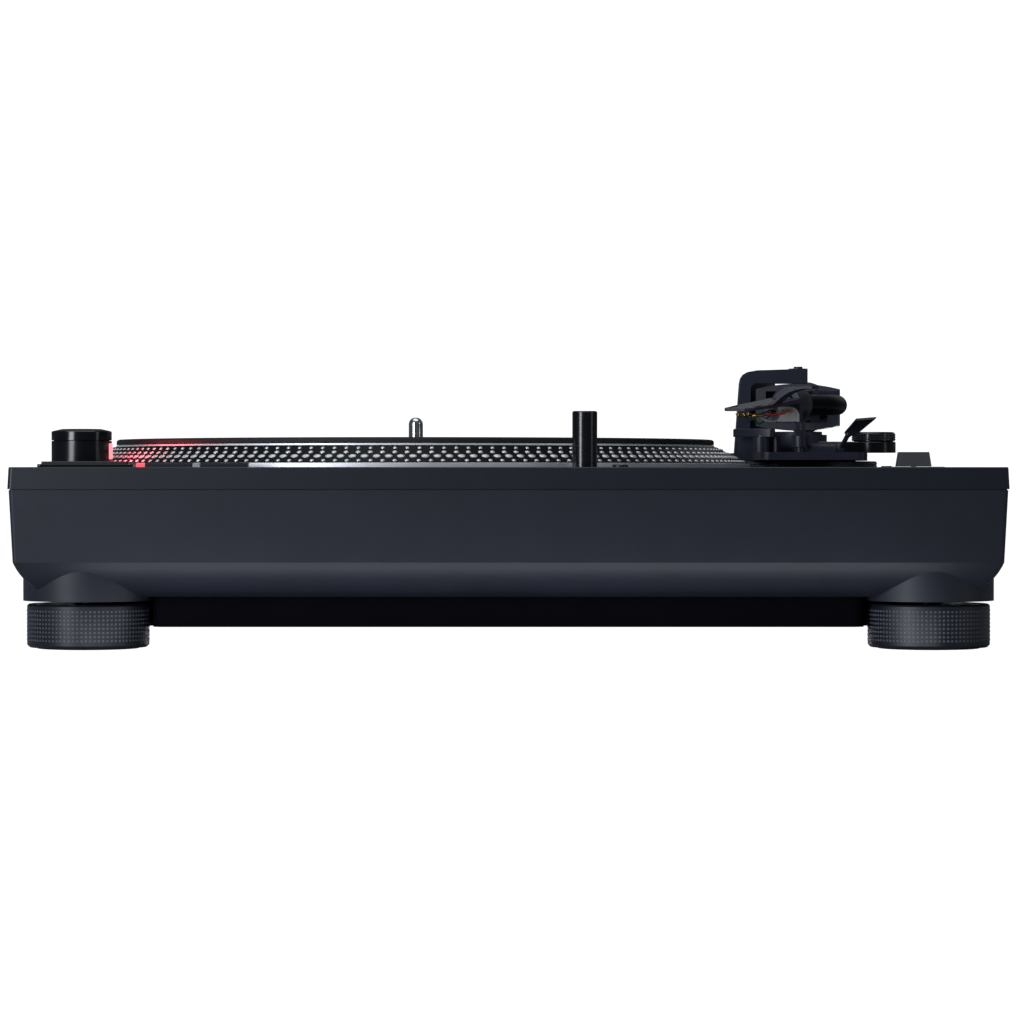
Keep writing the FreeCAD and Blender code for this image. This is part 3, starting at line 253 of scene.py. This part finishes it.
MATERIALS = {
    "panel_black": grained("panel_paint", (0.0075, 0.0096, 0.0160), 0.42, 5200, 0.02),
    "chassis_black": grained("chassis_moulding", (0.0112, 0.0124, 0.0215), 0.48, 4200, 0.03),
    # Darker than plain black rubber: the cover's own black, deepened as painted shade for the plinth's underside
    "cover_black": grained("cover_rubber_and_painted_shade", (0.0012, 0.0011, 0.0024), 0.8, 1800, 0.08, specular=0.05),
    "screw_steel": grained("zinc_steel", (0.42, 0.42, 0.43), 0.35, 2000, 0.02, metallic=1.0),
    "trim_black": grained("trim_satin", (0.0030, 0.0032, 0.0055), 0.20, 4000, 0.015),
    "lens_red": glowing("strobe_red", (1.0, 0.17, 0.20), 2.6),
    "led_red": glowing("led_glow", (0.9, 0.09, 0.10), 1.4),
    "button_black": grained("button_satin", (0.013, 0.0145, 0.019), 0.36, 3600, 0.02),
    "knob_black": grained("knob_gloss", (0.0025, 0.0026, 0.0050), 0.15, 3600, 0.01, coat=0.2),
    "board_green": grained("board_lacquer", (0.02, 0.10, 0.045), 0.35, 900, 0.05),
    "bearing_brass": grained("bearing_brass", (0.70, 0.52, 0.22), 0.3, 1500, 0.02, metallic=1.0),
    "supply_metal": grained("plated_metal", (0.35, 0.35, 0.37), 0.42, 1500, 0.03, metallic=1.0),
    "inner_plastic": grained("inner_moulding", (0.012, 0.012, 0.015), 0.45, 3000, 0.03),
    "platter_aluminium": grained("platter_cast", (0.82, 0.83, 0.87), 0.46, 1800, 0.01, metallic=0.6),
    "mat_rubber": ringed(grained("mat_rubber", (0.017, 0.0175, 0.0185), 0.62, 2400, 0.05, specular=0.3),
                         Vector(JOINTS["platter_spin"]["pos_m"]), 2.4 * MM, 0.35 * MM),
    "spindle_steel": grained("spindle_chrome", (0.74, 0.74, 0.77), 0.10, 1600, 0.005, metallic=1.0),
    "arm_black_metal": grained("arm_anodised", (0.0215, 0.0240, 0.0420), 0.40, 4200, 0.015),
    "arm_satin": grained("arm_tube_satin", (0.0012, 0.0012, 0.0030), 0.34, 4200, 0.01, specular=0.04),
    "weight_black": grained("weight_paint", (0.0085, 0.0090, 0.0135), 0.34, 3800, 0.02),
    "arm_plastic": grained("arm_moulding", (0.0190, 0.0210, 0.0360), 0.38, 3400, 0.02),
    "lamp_black": grained("lamp_gloss", (0.0020, 0.0024, 0.0045), 0.20, 3600, 0.005, coat=0.3),
    "adaptor_aluminium": grained("adaptor_turned", (0.62, 0.62, 0.64), 0.28, 1500, 0.02, metallic=1.0),
    "clip_gold": grained("clip_gold", (0.85, 0.58, 0.20), 0.22, 3000, 0.01, metallic=1.0),
    "wire_red": grained("wire_red", (0.85, 0.015, 0.03), 0.35, 3000, 0.01),
    "wire_white": grained("wire_white", (0.80, 0.76, 0.66), 0.4, 3000, 0.01),
    "wire_green": grained("wire_green", (0.02, 0.18, 0.09), 0.4, 3000, 0.01),
    "wire_blue": grained("wire_blue", (0.02, 0.09, 0.34), 0.4, 3000, 0.01),
    "foot_black": grained("foot_moulding", (0.0065, 0.0078, 0.0125), 0.40, 3200, 0.02),
    "pad_rubber": grained("pad_rubber", (0.010, 0.010, 0.011), 0.7, 2200, 0.06, specular=0.3),
}
DOT_SILVER = grained("dot_silver", (0.80, 0.82, 0.84), 0.26, 2600, 0.01, metallic=0.35)
DOT_FIELD = grained("dot_field", (0.0012, 0.0013, 0.0018), 0.34, 2600, 0.01, specular=0.15)
LEGEND_WHITE = grained("legend_ink", (0.62, 0.64, 0.66), 0.5, 3000, 0.01)
INSULATOR = grained("insulator_white", (0.90, 0.88, 0.84), 0.35, 1500, 0.02)
# Lighter stud tips for the feet, anti-skate dial and collar knurls: a painted highlight on each stud
KNURL_TIP_PAINTED_GLINT = grained("knurl_tip_painted_glint", (0.075, 0.083, 0.100), 0.34, 3000, 0.01)
# Much lighter stud tips for the height ring's knurl: a painted highlight on each stud
RING_TIP_PAINTED_GLINT = grained("ring_knurl_tip_painted_glint", (0.20, 0.22, 0.26), 0.30, 3000, 0.01)
# Much lighter than the other knobs: a painted highlight standing in for the light band reflected in the knob's
# concave face
FADER_KNOB_PAINTED_SHEEN = grained("fader_knob_painted_sheen", (0.135, 0.130, 0.150), 0.34, 3400, 0.01, metallic=0.4)
LED_DULL = grained("led_unlit", (0.42, 0.44, 0.50), 0.3, 2400, 0.01)
LAMP_GLASS = glowing("lamp_glass", (0.85, 0.83, 0.75), 0.35)
# Nodes that take another material than their record slot's; the pitch knob's light grey one is a painted highlight
FINISHES_AND_PAINTED_SHEEN = {"pitch_knob": FADER_KNOB_PAINTED_SHEEN, "collar": MATERIALS["arm_black_metal"],
            "headshell": MATERIALS["arm_plastic"], "finger_lift": MATERIALS["arm_plastic"]}


# ---------------------------------------------------------------- shapes

def upright(centre):
    """A frame on the floor under a point, with its axes along the object's."""
    return Matrix.Translation(Vector((centre[0], centre[1], 0)))


def axes_at(origin, back, up):
    """A frame with its Y along back, its Z near up and its X to the right."""
    right = back.cross(up).normalized()
    up = right.cross(back).normalized()
    turn = Matrix((right, back, up)).transposed().to_4x4()
    return Matrix.Translation(Vector(origin)) @ turn


ARM = axes_at(JOINTS["arm_tilt"]["pos_m"], Vector(JOINTS["counterweight_turn"]["axis"]), Vector((0, 0, 1)))
ARM_UP = ARM.to_3x3() @ Vector((0, 0, 1))
HEAD = axes_at(JOINTS["collar_turn"]["pos_m"], -Vector(JOINTS["collar_turn"]["axis"]), ARM_UP)
ALONG_Y = Matrix.Rotation(math.radians(-90), 4, "X")    # turns Z to Y


def shape(name, body, slot, material, points, faces, smooth=False):
    """A mesh piece from points in the object's frame."""
    mesh = bpy.data.meshes.new(name)
    mesh.from_pydata([tuple(p) for p in points], [], faces)
    mesh.polygons.foreach_set("use_smooth", [smooth] * len(mesh.polygons))
    mesh.materials.append(material)
    mesh.update()
    obj = link(bpy.data.objects.new(name, mesh))
    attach(obj, body)
    return obj


def lathe(outline, place, steps=48):
    """Points and faces of an outline of (radius, height) turned about a frame's Z axis."""
    points, faces = [], []
    count = len(outline)
    for i in range(steps):
        angle = 2 * math.pi * i / steps
        points += [place @ Vector((r * math.cos(angle), r * math.sin(angle), z)) for r, z in outline]
    for i in range(steps):
        here, there = i * count, (i + 1) % steps * count
        faces += [(here + k, there + k, there + k + 1, here + k + 1) for k in range(count - 1)]
    return points, faces


def merged(parts):
    """Several (points, faces) lists as one."""
    points, faces = [], []
    for more_points, more_faces in parts:
        start = len(points)
        points += more_points
        faces += [tuple(start + v for v in face) for face in more_faces]
    return points, faces


def knurl(name, body, slot, place, radius, low, high, columns, rows, height, fill=0.72, material=None):
    """Rows of small raised studs round a frame's Z axis."""
    points, faces = [], []
    turn, rise = 2 * math.pi / columns, (high - low) / rows
    corners = ((-1, -1), (1, -1), (1, 1), (-1, 1))
    for row in range(rows):
        for column in range(columns):
            start = len(points)
            for r, share in ((radius - 0.05 * MM, fill), (radius + height, fill * 0.45)):
                for across, along in corners:
                    angle = turn * (column + 0.5 * across * share)
                    z = low + rise * (row + 0.5 + 0.5 * along * share)
                    points.append(place @ Vector((r * math.cos(angle), r * math.sin(angle), z)))
            faces.append(tuple(start + k for k in (4, 5, 6, 7)))
            faces += [tuple(start + k for k in (a, (a + 1) % 4, (a + 1) % 4 + 4, a + 4)) for a in range(4)]
    return shape(name, body, slot, material or MATERIALS[slot], points, faces)


def legend(name, body, text, place, size):
    """A generic number in ink, standing a hair proud of its surface."""
    data = bpy.data.curves.new(name, "FONT")
    data.body = text
    data.size = size
    data.align_x, data.align_y = "CENTER", "CENTER"
    data.extrude = INK
    data.materials.append(LEGEND_WHITE)
    obj = link(bpy.data.objects.new(name, data))
    obj.matrix_world = place
    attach(obj, body)
    return obj


def tick(x0, x1, y0, y1, z):
    """A thin raised bar, as (points, faces)."""
    half_thick = 0.05 * MM
    low, top = z - half_thick, z + half_thick
    points = [Vector((x, y, h)) for h in (low, top) for x, y in ((x0, y0), (x1, y0), (x1, y1), (x0, y1))]
    return points, [(4, 5, 6, 7), (0, 1, 5, 4), (1, 2, 6, 5), (2, 3, 7, 6), (3, 0, 4, 7)]


# ---------------------------------------------------------------- leads

# Control points in the headshell's frame, in millimetres, as the CAD leads run
LEADS = {
    "red": [(5.2, -12, -3.2), (5.5, -16.5, -3.0), (7.4, -21.5, -3.4), (9.0, -27.0, -4.2),
            (8.2, -32.6, -4.9), (5.4, -37.2, -5.0), (5.0, -41.4, -5.2)],
    "white": [(1.9, -12, -3.0), (2.1, -16.5, -3.2), (3.4, -21.6, -5.4), (4.8, -27.0, -8.0),
              (4.0, -32.6, -8.2), (1.9, -37.2, -6.4), (1.6, -41.6, -5.6)],
    "green": [(-1.6, -12, -3.4), (-1.9, -16.4, -3.8), (-3.0, -21.2, -6.2), (-3.6, -26.4, -9.0),
              (-2.4, -31.8, -9.2), (-1.8, -36.4, -6.9), (-1.6, -40.8, -6.1)],
    "blue": [(-5.0, -12, -3.2), (-5.4, -16.4, -3.4), (-7.4, -21.4, -4.6), (-8.4, -26.8, -7.0),
             (-7.2, -32.2, -7.8), (-5.2, -36.8, -6.2), (-4.9, -41.2, -5.6)],
}
LEAD_DIAMETER = 0.9
PIN_OUTLINE = [(0.50, 0), (0.74, 0), (0.80, 0.2), (0.80, 2.2), (0.62, 2.6), (0.70, 2.9), (0.70, 3.5),
               (0.48, 3.7)]
CLIP_OUTLINE = [(0.46, -0.6), (0.68, -0.5), (0.68, 0.4), (0.58, 0.8), (0.62, 1.2), (0.85, 1.7), (0.85, 6.7),
                (0.78, 7.0), (0.45, 7.0), (0.42, 5.2), (0, 5.2)]


def pointing(start, ahead):
    """A frame at start with its Z towards ahead."""
    turn = (ahead - start).to_track_quat("Z", "Y").to_matrix().to_4x4()
    return Matrix.Translation(start) @ turn


def scaled(outline):
    return [(r * MM, z * MM) for r, z in outline]


def make_leads():
    pins = []
    for colour, route in LEADS.items():
        points = [HEAD @ (Vector(p) * MM) for p in route]
        slot = "wire_" + colour
        data = bpy.data.curves.new("cartridge_lead_" + colour, "CURVE")
        data.dimensions = "3D"
        spline = data.splines.new("NURBS")
        spline.points.add(len(points) - 1)
        for control, place in zip(spline.points, points):
            control.co = (*place, 1)
        spline.order_u = 3
        spline.use_endpoint_u = True
        spline.resolution_u = 8
        data.bevel_depth = LEAD_DIAMETER / 2 * MM
        data.bevel_resolution = 4
        data.use_fill_caps = True
        data.materials.append(MATERIALS[slot])
        lead = link(bpy.data.objects.new("cartridge_lead_" + colour, data))
        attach(lead, "headshell")
        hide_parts("lead_" + colour)
        end = points[-1] + (points[-1] - points[-2])
        clip = shape("lead_clip_" + colour, "headshell", "clip_gold", MATERIALS["clip_gold"],
                     *lathe(scaled(CLIP_OUTLINE), pointing(points[-1], end), 20), smooth=True)
        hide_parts("lead_clips")
        pins.append(lathe(scaled(PIN_OUTLINE), pointing(points[0], points[1]), 20))
    shape("head_pins", "headshell", "clip_gold", MATERIALS["clip_gold"], *merged(pins), smooth=True)


def make_insulator():
    """The white insulating block that the four pins stand in."""
    outline = [(-2.0, -8.2), (9.0, -8.2), (9.0, -5.0), (8.2, -3.0), (6.6, -1.6), (4.0, -0.9), (-2.0, -0.9)]
    rear, front, edge = -11.9, -13.2, 0.35
    points = []
    middle = (3.5, -4.5)
    for y, inset in ((rear, 0.0), (front + edge, 0.0), (front, edge)):
        for x, z in outline:
            pull = 1 - inset / 5.0
            points.append(HEAD @ (Vector((middle[0] + (x - middle[0]) * pull, y,
                                          middle[1] + (z - middle[1]) * pull)) * MM))
    count = len(outline)
    faces = [tuple(range(2 * count, 3 * count))]
    for ring in range(2):
        faces += [(ring * count + k, ring * count + (k + 1) % count, (ring + 1) * count + (k + 1) % count,
                   (ring + 1) * count + k) for k in range(count)]
    shape("pin_insulator", "headshell", "wire_white", INSULATOR, points, faces)


# ---------------------------------------------------------------- platter

DOT_ROWS = (    # place down the slope, dots round it, half width and half height of a dot in mm
    (0.17, 170, 0.95, 0.85), (0.40, 174, 1.25, 1.15), (0.62, 180, 1.85, 1.6), (0.87, 186, 1.05, 0.95))
SLOPE_TOP, SLOPE_LOW = (149.6, 93.4), (165.0, 85.2)     # radius and height in mm
DOT_STEPS = 12
DOT_DOME = ((1.0, 0.05), (0.86, 0.30), (0.5, 0.52))     # share of a dot's size, and its rise in mm there
DOT_TOP, FIELD_RISE = 0.6, 0.08                         # rise of a dot's top and of the field in mm


def slope_point(centre, share, angle, out=0.0):
    """A point on the platter's slope, and out of it by a small step."""
    (r0, z0), (r1, z1) = SLOPE_TOP, SLOPE_LOW
    length = math.hypot(r1 - r0, z1 - z0)
    r = r0 + (r1 - r0) * share + out * (z0 - z1) / length
    z = z0 + (z1 - z0) * share + out * (r1 - r0) / length
    return Vector((centre.x + r * math.cos(angle) * MM, centre.y + r * math.sin(angle) * MM, z * MM))


def make_platter_dots():
    centre = Vector(JOINTS["platter_spin"]["pos_m"])
    steps = 360
    points, faces = [], []
    for i in range(steps):
        angle = 2 * math.pi * i / steps
        points += [slope_point(centre, share, angle, FIELD_RISE) for share in (0.005, 0.5, 0.985)]
    for i in range(steps):
        here, there = 3 * i, 3 * ((i + 1) % steps)
        faces += [(here + k, here + k + 1, there + k + 1, there + k) for k in (0, 1)]
    shape("dot_field", "platter", "trim_black", DOT_FIELD, points, faces, smooth=True)
    length = math.hypot(SLOPE_LOW[0] - SLOPE_TOP[0], SLOPE_LOW[1] - SLOPE_TOP[1])
    points, faces = [], []
    for share, count, half_wide, half_high in DOT_ROWS:
        radius = SLOPE_TOP[0] + (SLOPE_LOW[0] - SLOPE_TOP[0]) * share
        for i in range(count):
            angle = 2 * math.pi * (i + 0.5) / count
            start = len(points)
            for scale, rise in DOT_DOME:
                for step in range(DOT_STEPS):
                    way = 2 * math.pi * step / DOT_STEPS
                    across = angle + half_wide * scale * math.cos(way) / radius
                    down = share + half_high * scale * math.sin(way) / length
                    points.append(slope_point(centre, down, across, rise))
            points.append(slope_point(centre, share, angle, DOT_TOP))
            for ring in (0, 1):
                low, high = start + ring * DOT_STEPS, start + (ring + 1) * DOT_STEPS
                faces += [(low + (k + 1) % DOT_STEPS, low + k, high + k, high + (k + 1) % DOT_STEPS)
                          for k in range(DOT_STEPS)]
            top = start + 2 * DOT_STEPS
            faces += [(top + (k + 1) % DOT_STEPS, top + k, start + 3 * DOT_STEPS) for k in range(DOT_STEPS)]
    shape("strobe_dots", "platter", "spindle_steel", DOT_SILVER, points, faces, smooth=True)


# ---------------------------------------------------------------- knobs, rings and feet

def make_knurls():
    # Most studs take a lighter colour than their part: painted highlights on the stud tips
    for corner in CORNERS:
        body = "foot_" + corner
        low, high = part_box(body)
        knurl("knurl_" + corner, body, "foot_black", upright((low + high) / 2), radius=27.9 * MM,
              low=3.2 * MM, high=18.4 * MM, columns=88, rows=8, height=0.22 * MM, material=KNURL_TIP_PAINTED_GLINT)
    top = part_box("power_knob")[1].z
    knurl("power_knob_teeth", "power_knob", "knob_black", upright(JOINTS["power_turn"]["pos_m"]),
          radius=9.3 * MM, low=top - 0.8 * MM, high=top + 0.1 * MM, columns=84, rows=1, height=0.9 * MM)
    low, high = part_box("anti_skate_dial")
    knurl("anti_skate_knurl", "anti_skate_dial", "knob_black", upright(JOINTS["anti_skate_turn"]["pos_m"]),
          radius=(high.x - low.x) / 2, low=high.z - 4.3 * MM, high=high.z - 0.9 * MM,
          columns=76, rows=3, height=0.28 * MM, material=KNURL_TIP_PAINTED_GLINT)
    low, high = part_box("height_ring")
    knurl("height_ring_knurl", "height_ring", "arm_black_metal", upright((low + high) / 2),
          radius=(high.x - low.x) / 2, low=low.z + 0.3 * MM, high=high.z - 0.5 * MM,
          columns=168, rows=2, height=0.3 * MM, fill=0.5, material=RING_TIP_PAINTED_GLINT)
    along_arm = ARM @ ALONG_Y
    knurl("pressure_dial_knurl", "pressure_dial", "knob_black", along_arm,
          radius=11.0 * MM, low=26.0 * MM, high=28.9 * MM, columns=64, rows=1, height=0.3 * MM)
    knurl("weight_knurl", "counterweight", "weight_black", along_arm,
          radius=12.8 * MM, low=42.8 * MM, high=44.8 * MM, columns=90, rows=1, height=0.3 * MM)
    knurl("collar_knurl", "collar", "arm_satin", HEAD @ ALONG_Y, radius=8.3 * MM, low=-1.6 * MM,
          high=2.6 * MM, columns=44, rows=1, height=0.32 * MM, fill=0.6, material=KNURL_TIP_PAINTED_GLINT)
    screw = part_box("gimbal_bracket")[1].z
    knurl("pivot_screw_teeth", "arm_base", "spindle_steel", upright(JOINTS["arm_yaw"]["pos_m"]),
          radius=1.8 * MM, low=screw - 0.8 * MM, high=screw, columns=9, rows=1, height=0.5 * MM)


# ---------------------------------------------------------------- legends

def make_legends():
    for number in ("33", "45"):
        node = "button_" + number
        low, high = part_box(node)
        place = Matrix.Translation(((low.x + high.x) / 2, (low.y + high.y) / 2, high.z + INK))
        legend("legend_" + number, node, number, place, 4.4 * MM)
    knob = [(a + b) / 2 for a, b in zip(*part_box("pitch_knob"))]
    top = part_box("pitch_plate")[1].z
    travel = JOINTS["pitch_slide"]["range_m"][1]
    units, half_wide = 8, 0.14 * MM
    ticks = []
    for step in range(-units, units + 1):
        if step == 0:
            continue
        y = knob[1] + travel * step / units
        long = step % 4 == 0
        x1 = knob[0] - 8.6 * MM
        ticks.append(tick(x1 - (2.6 if long else 1.5) * MM, x1, y - half_wide, y + half_wide, top))
        if long:
            place = Matrix.Translation((x1 - 5.2 * MM, y, top + INK))
            side = "up" if step > 0 else "down"
            legend(f"pitch_{side}_{abs(step)}", "root", str(abs(step)), place, 3.4 * MM)
    shape("pitch_ticks", "root", "wire_white", LEGEND_WHITE, *merged(ticks))
    axis = Vector(JOINTS["anti_skate_turn"]["pos_m"])
    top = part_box("anti_skate_dial")[1].z
    for number in range(8):
        angle = math.radians(-90 - 36 * number)
        outward = Vector((math.cos(angle), math.sin(angle), 0))
        spot = Vector((axis.x, axis.y, top + INK)) + 7.6 * MM * outward
        place = Matrix.Translation(spot) @ Matrix.Rotation(angle + math.radians(90), 4, "Z")
        legend(f"anti_skate_{number}", "anti_skate_dial", str(number), place, 2.4 * MM)


# ---------------------------------------------------------------- lamp and connectors

def make_small_parts():
    low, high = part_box("lamp_tube")
    middle = (low + high) / 2
    window = Matrix.Translation((middle.x, high.y - 2.0 * MM, high.z - 6 * MM)) @ ALONG_Y
    dome = [(2.5, 0), (2.5, 0.3), (2.1, 0.8), (1.2, 1.15), (0, 1.3)]
    shape("lamp_lens", "lamp_tube", "wire_white", LAMP_GLASS, *lathe(scaled(dome), window, 32), smooth=True)
    sheath = [(1.62, 7.5), (3.9, 7.5), (4.2, 7.2), (4.2, 2.2), (4.05, 1.9), (4.2, 1.6), (4.2, 0.1)]
    for side in ("left", "right"):
        place = Vector(MOUNTS["phono_" + side]["pos_m"]) - Vector((0, 3.5 * MM, 0))
        shape("phono_shell_" + side, "root", "clip_gold", MATERIALS["clip_gold"],
              *lathe(scaled(sheath), Matrix.Translation(place) @ ALONG_Y, 40))
    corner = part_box("rear_terminals")[1]
    post = Matrix.Translation((corner.x - 17 * MM, corner.y, MOUNTS["phono_left"]["pos_m"][2])) @ ALONG_Y
    knurl("earth_knurl", "root", "spindle_steel", post,
          radius=5.0 * MM, low=-6.8 * MM, high=-2.2 * MM, columns=36, rows=1, height=0.3 * MM)
    low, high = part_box("speed_leds")
    width, proud = 3.2 * MM, 0.02 * MM
    points, faces = tick(high.x - width - proud, high.x + proud, low.y - 0.03 * MM, high.y, high.z)
    for k in range(4):      # the lower ring goes down to the lamps' foot
        points[k] = Vector((points[k].x, points[k].y, low.z + proud))
    shape("led_unlit", "root", "lamp_black", LED_DULL, points, faces)


# ---------------------------------------------------------------- CAD nodes

def smoothing(angle):
    """A node group that shades smooth across edges flatter than the angle."""
    group = bpy.data.node_groups.new("smooth_below_angle", "GeometryNodeTree")
    for way in ("INPUT", "OUTPUT"):
        group.interface.new_socket("Geometry", in_out=way, socket_type="NodeSocketGeometry")
    start, end = group.nodes.new("NodeGroupInput"), group.nodes.new("NodeGroupOutput")
    faces, edges = (group.nodes.new("GeometryNodeSetShadeSmooth") for _ in range(2))
    edges.domain = "EDGE"
    bend = group.nodes.new("GeometryNodeInputMeshEdgeAngle")
    flatter = group.nodes.new("FunctionNodeCompare")
    flatter.operation = "LESS_THAN"
    flatter.inputs[1].default_value = angle
    join = group.links.new
    join(start.outputs[0], faces.inputs["Geometry"])
    join(faces.outputs[0], edges.inputs["Geometry"])
    join(bend.outputs["Unsigned Angle"], flatter.inputs[0])
    join(flatter.outputs[0], edges.inputs["Shade Smooth"])
    join(edges.outputs[0], end.inputs[0])
    return group


def finish_nodes():
    """Every CAD node that stays visible gets its slot's material and finely broken edges."""
    flat, round_ = smoothing(math.radians(12)), smoothing(math.radians(24))
    for part in frame["record"]["subparts"]:
        node = NODES[part["node"]]
        node.data.materials.clear()
        node.data.materials.append(FINISHES_AND_PAINTED_SHEEN.get(part["node"], MATERIALS[part["material_slot"]]))
        weld = node.modifiers.new("weld", "WELD")
        weld.merge_threshold = WELD_GAP
        bevel = node.modifiers.new("bevel", "BEVEL")
        bevel.width = BROKEN_EDGE
        bevel.segments = 2
        bevel.limit_method = "ANGLE"
        bevel.angle_limit = EDGE_ANGLE
        shallow = part["node"] in ("top_panel", "lower_chassis", "bottom_cover")
        node.modifiers.new("smooth", "NODES").node_group = flat if shallow else round_
        even = node.modifiers.new("even", "WEIGHTED_NORMAL")
        even.keep_sharp = True


make_camera()
make_leads()
make_insulator()
make_lights()
make_floor()
finish_nodes()
make_platter_dots()
make_knurls()
make_legends()
make_small_parts()
